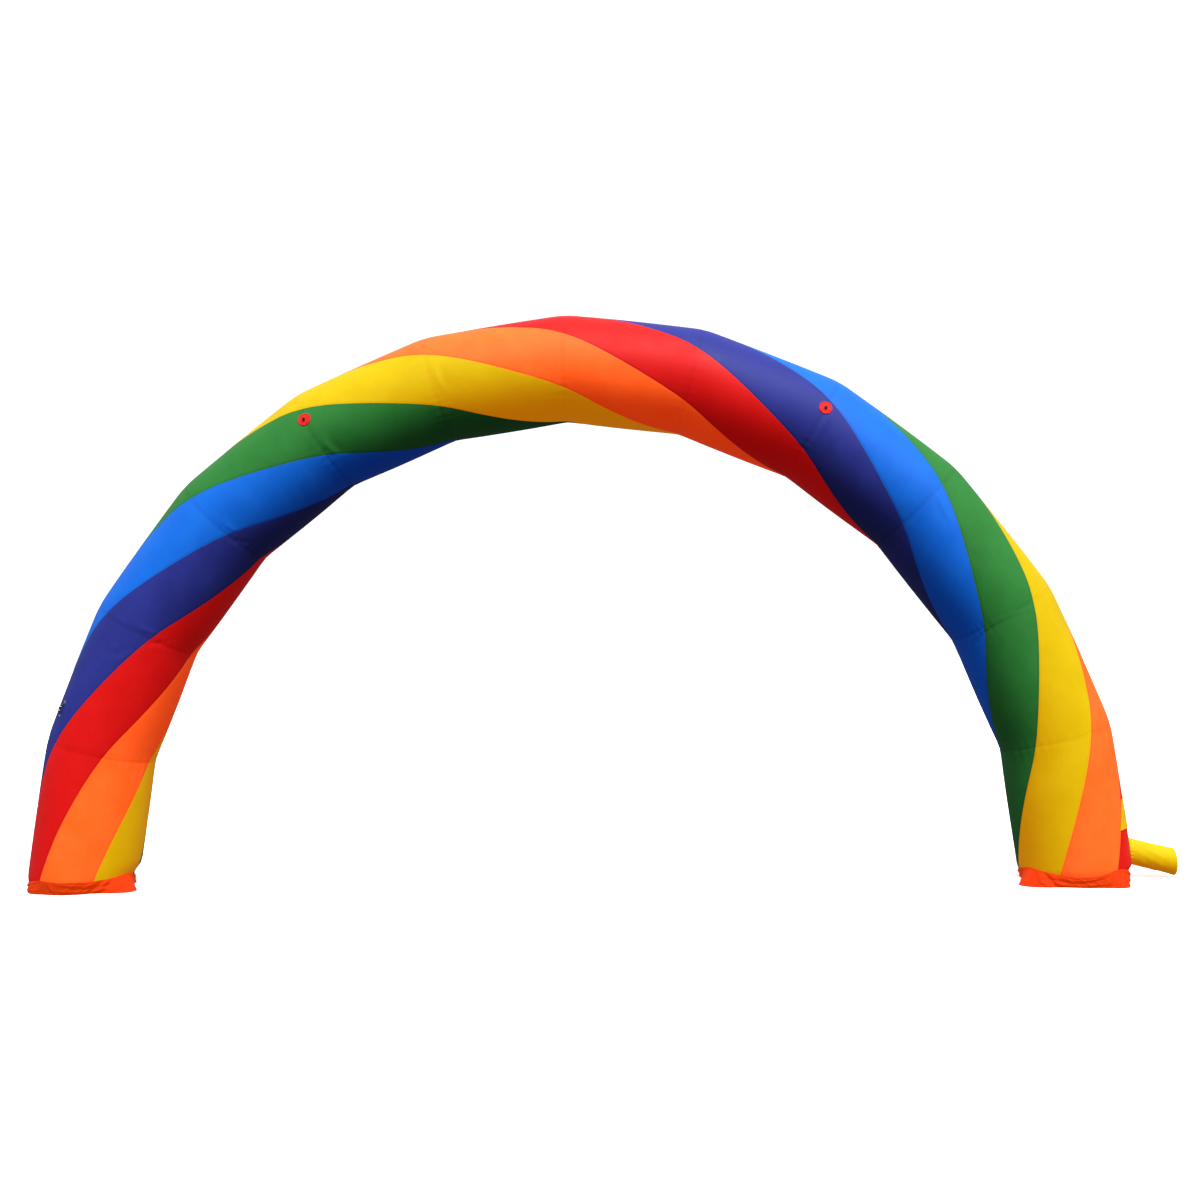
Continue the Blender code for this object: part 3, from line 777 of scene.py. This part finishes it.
def makeSkirt(side):
    angles = -360 / skirt["columns"] * np.arange(skirt["columns"])[None, :]
    share = np.linspace(0, 1, skirt["rings"] + 1)[:, None]
    around = np.radians(angles - skirt["turn"][side])
    toRight = wrapped(np.degrees(around) - 90)
    toRight = toRight if side == "left" else -toRight

    top, cornered = skirtTop(side, around, toRight)
    height = top * share
    low = np.clip(1 - height / arch["tuckHeight"], 0, 1)
    level = np.maximum(height, arch["base"])
    tube = arch["radius"] * (1 - arch["tuck"] * low ** arch["tuckCurve"])
    tube = tube + cover["footPleats"][0] * low - footTuck(footPlace(side, level), angles)
    outline = skirtOutline(side, toRight)
    loose = 1 - np.clip((outline - skirt["ground"][side]) / skirt["calm"], 0, 0.9)
    radius = outline + (tube[-1:] + skirt["clear"] - outline) * share
    radius = radius + skirtFolds(side, around, toRight, share, cornered, loose)
    depth, at, wide = skirt["hem"]
    radius = radius - depth * bell(height - at, wide)
    radius = np.maximum(radius, tube + skirt["clear"])

    layers = []
    for lift in (skirt["thick"], 0.0):
        points = tubePoint(footPlace(side, level), angles, radius + lift)
        points[..., 2] -= level - height
        layers.append(points)
    if side == "right":
        layers = [grid[::-1] for grid in layers]
    wide, long = skirt["flat"]
    cloth = clothGrid(skirt["rings"] + 1, skirt["columns"] + 1, long, wide)[..., ::-1]
    mesh = gridMesh(side + "_ground_skirt", *layers, True, cloth)
    finish = coatedOxford("coated_oxford_skirt_" + side, skirt["shades"], skirt["paintedGlow"],
                          shine=skirt["shine"])
    piece = addPiece(side + "_ground_skirt", mesh, finish, [side + "_skirt"], 70)


for side in ("left", "right"):
    makeSkirt(side)
print("feet: skirts gathered round the tube")

# The sleeve and the flap are cut from one lighter yellow cloth
# its glow is painted light, as on the bands: an emission that lightens the shaded side
lightYellow = {"shades": ("#9c9e00", "#a6a803", "#988400"), "paintedGlow": "#ac5800", "shine": 0.08}

duct = {
    "radius": 0.115,
    "slope": 14.5,
    "mouthX": 0.85,
    "mouthHeight": 0.14,
    "columns": 96,
    "rings": 54,
    "thick": 0.003,
    "hem": 0.03,
    "hemThick": 0.003,
    "flat": (0.72, 0.43),  # round it, and along it
    "wrinkles": (0.0012, 0.0008, 0.0010),  # round the sleeve, slanting, and along it
    "root": (0.003, 0.06, 22),  # puckers where it is sewn on: height, reach, how many
    "stitch": (0.004, 0.0025, 0.0012),  # hem's line of stitches: inset, reach and depth
    "droop": 0.004,
    "gap": 0.004,  # between its sewn end and the tube's plain radius
    "sunk": 0.001,
}


def makeDuct():
    foot, leg = line["seams"][-1], line["along"][-1]
    mouth = np.array((foot[0] + duct["mouthX"], foot[1], duct["mouthHeight"]))
    along, up = inPlane(-duct["slope"]), inPlane(90 - duct["slope"])
    turns = 2 * math.pi * np.arange(duct["columns"]) / duct["columns"]
    side = np.cos(turns)[:, None] * up + np.sin(turns)[:, None] * np.array((0.0, 1.0, 0.0))
    share = np.linspace(0, 1, duct["rings"] + 1)[:, None]
    ease = np.sin(math.pi * np.minimum(share * 1.12, 1.0))
    roundWave, slantWave, longWave = duct["wrinkles"]
    wrinkle = (roundWave * np.sin(17 * share + 2.3 * np.sin(turns + 0.6))
               + slantWave * np.sin(31 * share - 1.7 * np.cos(2 * turns))
               + longWave * np.sin(9 * turns + 11 * share)) * ease
    high, fade, count = duct["root"]
    root = high * bell(share, fade) * np.cos(count * turns)
    droop = duct["droop"] * ease * np.clip(np.cos(turns), 0, 1) ** 2
    inwards, wide, deep = duct["stitch"]
    layers = []
    for inset, hemThick in ((0.0, duct["hemThick"]), (duct["thick"], 0.0)):
        lip = mouth + (duct["radius"] - inset) * side
        lip = lip + ((mouth[0] - lip[:, 0]) / along[0])[:, None] * along
        # each line of the sleeve runs back from the lip until it meets the leg
        offset = lip - foot
        across = offset - (offset @ leg)[:, None] * leg
        slant = along - (along @ leg) * leg
        a, b = slant @ slant, across @ slant
        reach = arch["radius"] + duct["gap"]
        body = (b - np.sqrt(b * b - a * ((across ** 2).sum(-1) - reach * reach))) / a
        back = (1 - share) * body
        move = wrinkle - droop + root - duct["sunk"] + (back < duct["hem"]) * hemThick
        move = move - deep * bell(back - duct["hem"] + inwards, wide)
        layers.append(lip - back[..., None] * along + move[..., None] * side)
    wide, long = duct["flat"]
    cloth = clothGrid(duct["rings"] + 1, duct["columns"] + 1, wide, long)
    panel = cloth.copy()
    panel[..., 1] = long - cloth[..., 0]
    mesh = gridMesh("duct_sleeve", *layers, True, cloth, panel)
    finish = coatedOxford("coated_oxford_duct", **lightYellow)
    piece = addPiece("duct_sleeve", mesh, finish, ["air_duct"], 60)


makeDuct()
print("duct: sleeve sewn on the right foot")

# Flap: a flat piece of cloth that lies round the right leg's outer side, above the duct
flap = {
    "heights": (0.44, 0.67),
    "back": -27.0,
    "front": (33.0, 46.0),  # angle of its front edge at the top and at the foot
    "rows": 30,
    "columns": 60,
    "thick": 0.002,
    "seat": 0.0012,  # above the cover
    "hem": (0.0014, 0.006),  # height and reach of the doubled edge
    "stitch": (0.012, 0.003, 0.0010),  # hem's line of stitches: inset, reach and depth
    "lifted": (0.004, 0.03, 9),  # waves of its lower edge: height, reach, how many
    "ease": 0.003,
}


def makeFlap():
    low, high = (footPlace("right", height) for height in flap["heights"])
    r = np.linspace(0, 1, flap["rows"] + 1)[:, None]
    c = np.linspace(0, 1, flap["columns"] + 1)[None, :]
    places = high + (low - high) * r
    front = flap["front"][0] + (flap["front"][1] - flap["front"][0]) * r
    angles = front + (flap["back"] - front) * c
    wide = math.radians(sum(flap["front"]) / 2 - flap["back"]) * arch["radius"]
    tall = flap["heights"][1] - flap["heights"][0]
    edge = np.minimum(np.minimum(r, 1 - r) * tall, np.minimum(c, 1 - c) * wide)
    high, reach = flap["hem"]
    lift = flap["seat"] + high * bell(edge, reach)
    inset, reach, deep = flap["stitch"]
    lift = lift - deep * bell(edge - inset, reach)
    high, reach, count = flap["lifted"]
    lift = lift + high * bell((1 - r) * tall, reach) * np.sin(count * math.pi * c) ** 2
    bulge = np.sin(math.pi * r) * np.sin(math.pi * c)
    lift = lift + flap["ease"] * bulge * np.sin(7 * c + 3 * r) ** 2
    outer = coverPoint(places, angles, lift + flap["thick"])
    inner = coverPoint(places, angles, lift)
    cloth = clothGrid(flap["rows"] + 1, flap["columns"] + 1, wide, tall)
    panel = np.stack(np.broadcast_arrays(places, edge), -1)
    mesh = gridMesh("leg_flap", outer, inner, False, cloth, panel)
    finish = coatedOxford("coated_oxford_flap", **lightYellow)
    piece = addPiece("leg_flap", mesh, finish, ["side_flap"])


makeFlap()
print("flap: sewn on the right leg's outer side")

# Tethers: a round patch with a loop on it, where a guy line can be tied
tethers = (
    {"name": "left", "seam": 4, "angle": 70.6},
    {"name": "right", "seam": 8, "angle": 71.4},
)
patch = {
    "radius": 0.0575,
    "cells": 44,
    "thick": 0.002,
    "beads": ((0.0535, 0.0022, 0.0022), (0.031, 0.0016, 0.0012)),  # radius, width, height
    "seat": (0.0008, 0.0035),  # least height above the cover, and height where it bridges a groove
    "waves": (0.0008, 5, 60),  # height, how many round it, and their slant
    "bed": {"left": "green_band", "right": "navy_band"},
    "shades": ("#d50e0b", "#e01c18", "#8c0d0d"),
    # painted glow: an emission that lightens the patch's shaded side
    "paintedGlow": "#4e0000",
}


def makePatch(tether):
    seam, angle = tether["seam"], tether["angle"]
    share, turn = discGrid(patch["cells"])
    size = patch["radius"] * share
    sideways, upward = size * np.cos(turn), size * np.sin(turn)
    lengths = np.where(sideways > 0, line["lengths"][seam], line["lengths"][seam - 1])
    places = seam + sideways / lengths
    angles = angle + np.degrees(upward / arch["radius"])
    bed = relief(places, angles)
    low, bridge = patch["seat"]
    bed = np.maximum(bed + low, 0.5 * bed + bridge) + 0.0 * share
    high, count, slant = patch["waves"]
    lift = high * np.sin(count * turn + size * slant) * share
    for at, width, high in patch["beads"]:
        lift = lift + high * bell(size - at, width)
    outer = tubePoint(places, angles, arch["radius"] + bed + lift + patch["thick"])
    inner = tubePoint(places, angles, arch["radius"] + bed)
    cloth = np.stack((sideways, upward), -1)
    panel = np.stack((sideways, patch["radius"] - size), -1)
    name = tether["name"] + "_patch"
    mesh = gridMesh(name, outer[::-1], inner[::-1], False, cloth[::-1], panel[::-1])
    finish = coatedOxford("welded_oxford_" + tether["name"], patch["shades"], patch["paintedGlow"])
    piece = addPiece(name, mesh, finish, [tether["name"] + "_tether_patch"])


# Webbing: two tether loops of narrow tape and a handle whose middle is rolled into a grip
strap = {
    "cloth": 0.0025,
    "steps": 14,  # points along each leg of its path
    "eased": 6,  # times that its bends are eased
    "columns": 13,
    "edge": 0.45,  # how much thinner it is at its edges
    "gripLong": 0.62,  # share of the crown that the grip takes
    "under": 0.35,  # how far the grip swells below the tape, as a share of that above it
    "squeeze": 12,  # how much narrower the grip gets as it swells
}
loop = {"width": 0.020, "foot": 0.012, "span": 0.044, "rise": 0.024, "crown": 0.018, "grip": 0.0,
        "stitch": (0.0034, 0.0008),  # spacing and thickness of the box stitch
        "seat": (0.0028, 0.0012)}  # height of the patch at the seam, and of the feet above it
tab = {"width": 0.025, "foot": 0.022, "span": 0.15, "rise": 0.036, "crown": 0.05, "grip": 0.013,
       "stitch": (0.0042, 0.0011)}
tabPlace = {"place": 1.25, "angle": 43.5, "seat": 0.0006}
whipping = {"turns": 4, "spacing": 0.0021, "thread": 0.0011, "bands": (-0.017, 0.017),
            "sides": (28, 6), "loose": 0.0006,  # sides round the grip and round the thread
            "swell": (0.32, 0.68)}  # of the grip's swell: share in its middle, in half its height
boxStitch = {
    "inset": (0.0015, 0.0025, 0.002),  # from the foot's end, from its bend and from its sides
    "long": 0.66,  # share of the spacing that a stitch covers
    "section": ((-0.6, 0.0), (-0.36, 0.8), (0.36, 0.8), (0.6, 0.0)),  # across and up, in thicknesses
    "quads": ((0, 1, 5, 4), (1, 2, 6, 5), (2, 3, 7, 6), (3, 0, 4, 7), (4, 5, 9, 8),
              (5, 6, 10, 9), (6, 7, 11, 10), (7, 4, 8, 11), (3, 2, 1, 0), (8, 9, 10, 11)),
}


def rolled(size, x):
    # how far the grip swells at a distance along the strap from its middle
    return size["grip"] * np.exp(-((x / (strap["gripLong"] * size["crown"])) ** 4))


def halfWidth(size, x):
    # the strap is narrower where it is rolled
    return size["width"] / 2 * (1 - strap["squeeze"] * rolled(size, x))


def makeStrap(name, size, seat, out, lengthWay, stands):
    # bowed strap of webbing with rounded bends and soft edges
    half, crown = size["span"] / 2, size["crown"] / 2
    rise = size["rise"] - strap["cloth"] - size["grip"]
    path = [(-half, 0.0), (size["foot"] - half, 0.0), (-crown, rise), (crown, rise),
            (half - size["foot"], 0.0), (half, 0.0)]
    dense = []
    for (x0, y0), (x1, y1) in zip(path, path[1:]):
        for t in np.linspace(0, 1, strap["steps"], endpoint=False):
            dense.append((x0 + (x1 - x0) * t, y0 + (y1 - y0) * t))
    dense = np.array([*dense, path[-1]])
    for _ in range(strap["eased"]):
        dense[1:-1] = dense[1:-1] * 0.5 + (dense[:-2] + dense[2:]) * 0.25
    way = np.gradient(dense, axis=0)
    way /= np.linalg.norm(way, axis=1, keepdims=True)
    normal = np.stack((-way[:, 1], way[:, 0]), -1)
    widthWay = np.cross(out, lengthWay)
    across = np.linspace(-1, 1, strap["columns"])
    swell = rolled(size, dense[:, 0])[:, None]
    arc = np.sqrt(1 - (0.98 * across) ** 2)[None, :]  # round, but not sharp at the edges
    thick = strap["cloth"] * (1 - strap["edge"] * np.abs(across) ** 8)[None, :]
    narrow = halfWidth(size, dense[:, 0])[:, None]
    layers = []
    for lift in (thick + swell * arc, -strap["under"] * swell * arc):
        spot = dense[:, None, :] + normal[:, None, :] * lift[..., None]
        points = seat + spot[..., :1] * lengthWay + spot[..., 1:] * out
        layers.append(points + (across * narrow)[..., None] * widthWay)
    run = np.concatenate(((0,), np.cumsum(np.linalg.norm(np.diff(dense, axis=0), axis=1))))
    cloth = np.stack(np.meshgrid(run, (across + 1) / 2 * size["width"], indexing="ij"), -1)
    mesh = gridMesh(name, *layers, False, cloth)
    piece = addPiece(name, mesh, wovenWebbing("polyester_webbing_" + name), stands)
    return widthWay


def makeWhipping(name, seat, out, lengthWay, widthWay):
    # white thread wound round the grip in two bands; each turn of it is a closed ring
    middle = tab["rise"] - strap["cloth"] / 2 - tab["grip"]
    points, quads = [], []
    rows, columns = whipping["sides"]
    r, c = np.indices((rows, columns))
    a, b = 2 * math.pi * r / rows, 2 * math.pi * c / columns
    ring = [i % rows * columns + j % columns
            for i, j in ((r, c), (r, c + 1), (r + 1, c + 1), (r + 1, c))]
    ring = np.stack(ring, -1).reshape(-1, 4)
    far = whipping["thread"] * np.cos(b)
    raised, taller = whipping["swell"]
    for band in whipping["bands"]:
        for turn in range(whipping["turns"]):
            x = band + (turn - (whipping["turns"] - 1) / 2) * whipping["spacing"]
            swell = rolled(tab, x)
            wide = halfWidth(tab, x) + whipping["loose"]
            tall = strap["cloth"] / 2 + taller * swell + whipping["loose"]
            along = x + whipping["thread"] * np.sin(b)
            side = (wide + far) * np.cos(a)
            high = middle + raised * swell + (tall + far) * np.sin(a)
            quads.append(ring + len(points) * rows * columns)
            points.append(seat + along[..., None] * lengthWay + side[..., None] * widthWay
                          + high[..., None] * out)
    addThreads(name, np.reshape(points, (-1, 3)), np.concatenate(quads))


def makeStitches(name, seat, out, lengthWay, widthWay, size):
    # white box stitch on both feet of a strap: short raised threads
    points, quads = [], []
    gap, thick = size["stitch"]
    outer, inner, aside = boxStitch["inset"]
    for end in (-1, 1):
        x1 = end * (size["span"] / 2 - outer)
        x0 = end * (size["span"] / 2 - size["foot"] + inner)
        y = size["width"] / 2 - aside
        lines = [((x0, -y), (x0, y)), ((x1, -y), (x1, y)), ((x0, -y), (x1, -y)),
                 ((x0, y), (x1, y)), ((x0, -y), (x1, y)), ((x0, y), (x1, -y))]
        for start, stop in lines:
            start, stop = np.array(start), np.array(stop)
            length = np.linalg.norm(stop - start)
            way = (stop - start) / length
            cross = np.array((-way[1], way[0]))
            for step in np.arange(gap * 0.3, length - gap * 0.5, gap):
                a, b = start + way * step, start + way * (step + gap * boxStitch["long"])
                quads.extend(np.array(boxStitch["quads"]) + len(points))
                for spot, swell in ((a, 0.5), (a * 0.5 + b * 0.5, 1.0), (b, 0.5)):
                    for c, h in boxStitch["section"]:
                        flat = spot + cross * c * thick
                        up = strap["cloth"] + h * thick * swell
                        points.append(seat + flat[0] * lengthWay + flat[1] * widthWay + up * out)
    addThreads(name, points, quads)


def unit(vector):
    return vector / np.linalg.norm(vector)


for tether in tethers:
    makePatch(tether)
    seam, angle = tether["seam"], tether["angle"]
    out = unit(outward(seam - 0.5, angle) + outward(seam + 0.5, angle))
    bed, gap = loop["seat"]
    seat = tubePoint(float(seam), float(angle), arch["radius"] + bed) + out * gap
    level = np.array((1.0, 0.0, 0.0))
    through = unit(level - (level @ out) * out)
    lengthWay = np.cross(through, out)
    name = tether["name"] + "_loop"
    widthWay = makeStrap(name, loop, seat, out, lengthWay, [tether["name"] + "_tether_loop"])
    makeStitches(name + "_stitches", seat, out, lengthWay, widthWay, loop)
print("tethers: patches welded and loops sewn")

out = outward(tabPlace["place"], tabPlace["angle"])
seat = coverPoint(tabPlace["place"], tabPlace["angle"]) + out * tabPlace["seat"]
lengthWay = line["along"][1]
widthWay = makeStrap("side_handle", tab, seat, out, lengthWay, ["side_tab"])
makeStitches("side_handle_stitches", seat, out, lengthWay, widthWay, tab)
makeWhipping("side_handle_whipping", seat, out, lengthWay, widthWay)
print("side handle: webbing sewn on the left leg")

# Studio: a pale floor and backdrop, a high soft overhead light and one large soft key
studio = {
    "floor": ("#f1f1ef", "#ecece9"),
    "floorGlow": 0.55,  # the floor is lit from below too, so that shadows stay faint
    "floorSize": 90.0,  # from its middle to its edge
    "floorFaces": (-0.0005, -0.02),
    "overhead": 1.0,
    "overheadTint": "#f2f6ff",
    "rim": (0.12, 0.50),  # where the overhead light begins and is full, as the sine of its height
    "walls": 0.12,
    "below": 0.12,
    "backdrop": 1.2,
    "key": 4.6,
    "keySoft": 30.0,  # degrees across
    "keyFrom": (21.4, 54.0),  # degrees to the right of the front, and up
}


def makeFloor():
    grid = np.linspace(-studio["floorSize"], studio["floorSize"], 25)
    x, y = np.meshgrid(grid, grid, indexing="ij")
    top, low = (np.stack((x, y, 0 * x + face), -1) for face in studio["floorFaces"])
    mesh = gridMesh("floor", top[:, ::-1], low[:, ::-1], False, top[..., :2])
    finish, tree, spot = startMaterial("opal_acrylic_floor")  # sanded: even and dull, and it glows
    tone = addNode(tree, "ShaderNodeTexNoise", {"Vector": spot, "Scale": 0.25, "Detail": 2.0})[0]
    endMaterial(tree, tone, studio["floor"], {
        "Roughness": 0.9, "Specular IOR Level": 0.1, "Emission Color": toLinear("#ffffff"),
        "Emission Strength": studio["floorGlow"]})
    finish.cycles.emission_sampling = "NONE"
    mesh.materials.append(finish)
    floor = show("floor", mesh)
    floor.visible_diffuse = False  # keeps the arch's underside in shade
    floor.visible_glossy = False


def makeLight():
    world = bpy.data.worlds.new("overhead_softbox")
    bpy.context.scene.world = world
    world.use_nodes = True
    tree = world.node_tree
    tree.nodes.clear()
    spot = addNode(tree, "ShaderNodeTexCoord", {})["Generated"]
    height = addNode(tree, "ShaderNodeSeparateXYZ", {0: spot})[2]
    start, full = studio["rim"]
    above = addNode(tree, "ShaderNodeMapRange", {
        0: height, 1: start, 2: full, 3: studio["walls"], 4: studio["overhead"]},
        interpolation_type="SMOOTHSTEP")[0]
    below = addNode(tree, "ShaderNodeMapRange", {
        0: height, 1: -0.10, 2: 0.0, 3: studio["below"], 4: 10.0})[0]  # no limit above the ground
    strength = addNode(tree, "ShaderNodeMath", {0: above, 1: below}, operation="MINIMUM")[0]
    light = addNode(tree, "ShaderNodeBackground", {
        "Color": toLinear(studio["overheadTint"]), "Strength": strength})[0]
    backdrop = addNode(tree, "ShaderNodeBackground", {
        "Color": toLinear("#ffffff"), "Strength": studio["backdrop"]})[0]
    seen = addNode(tree, "ShaderNodeLightPath", {})["Is Camera Ray"]
    both = addNode(tree, "ShaderNodeMixShader", {0: seen, 1: light, 2: backdrop})[0]
    addNode(tree, "ShaderNodeOutputWorld", {0: both})

    key = bpy.data.lights.new("soft_key", "SUN")
    key.energy = studio["key"]
    key.angle = math.radians(studio["keySoft"])
    lamp = show("soft_key", key)
    turn, rise = (math.radians(degrees) for degrees in studio["keyFrom"])
    toKey = Vector((math.sin(turn) * math.cos(rise), -math.cos(turn) * math.cos(rise),
                    math.sin(rise)))
    lamp.location = toKey * 15
    lamp.rotation_euler = toKey.to_track_quat("Z", "Y").to_euler()


camera = {
    "location": (0.7906, -11.9837, 2.268),
    "turn": 2.929,  # degrees to the left of straight ahead
    "tilt": 1.380,  # degrees up
    "roll": 1.005,
    "focal": 1315.25 / 1200,  # share of the frame's width
}


def makeCamera():
    data = bpy.data.cameras.new("camera")
    data.sensor_fit = "HORIZONTAL"
    data.sensor_width = 36.0
    data.lens = 36.0 * camera["focal"]
    data.clip_end = 500.0
    eye = show("camera", data)
    turn, tilt, roll = (math.radians(camera[key]) for key in ("turn", "tilt", "roll"))
    eye.matrix_world = (Matrix.Translation(camera["location"]) @ Matrix.Rotation(turn, 4, "Z")
                        @ Matrix.Rotation(tilt, 4, "X") @ Matrix.Rotation(roll, 4, "Y")
                        @ Matrix.Rotation(math.radians(90), 4, "X"))
    bpy.context.scene.camera = eye


makeFloor()
makeLight()
makeCamera()
bpy.context.scene.view_settings.view_transform = "Standard"
print("studio: floor, light and camera set")
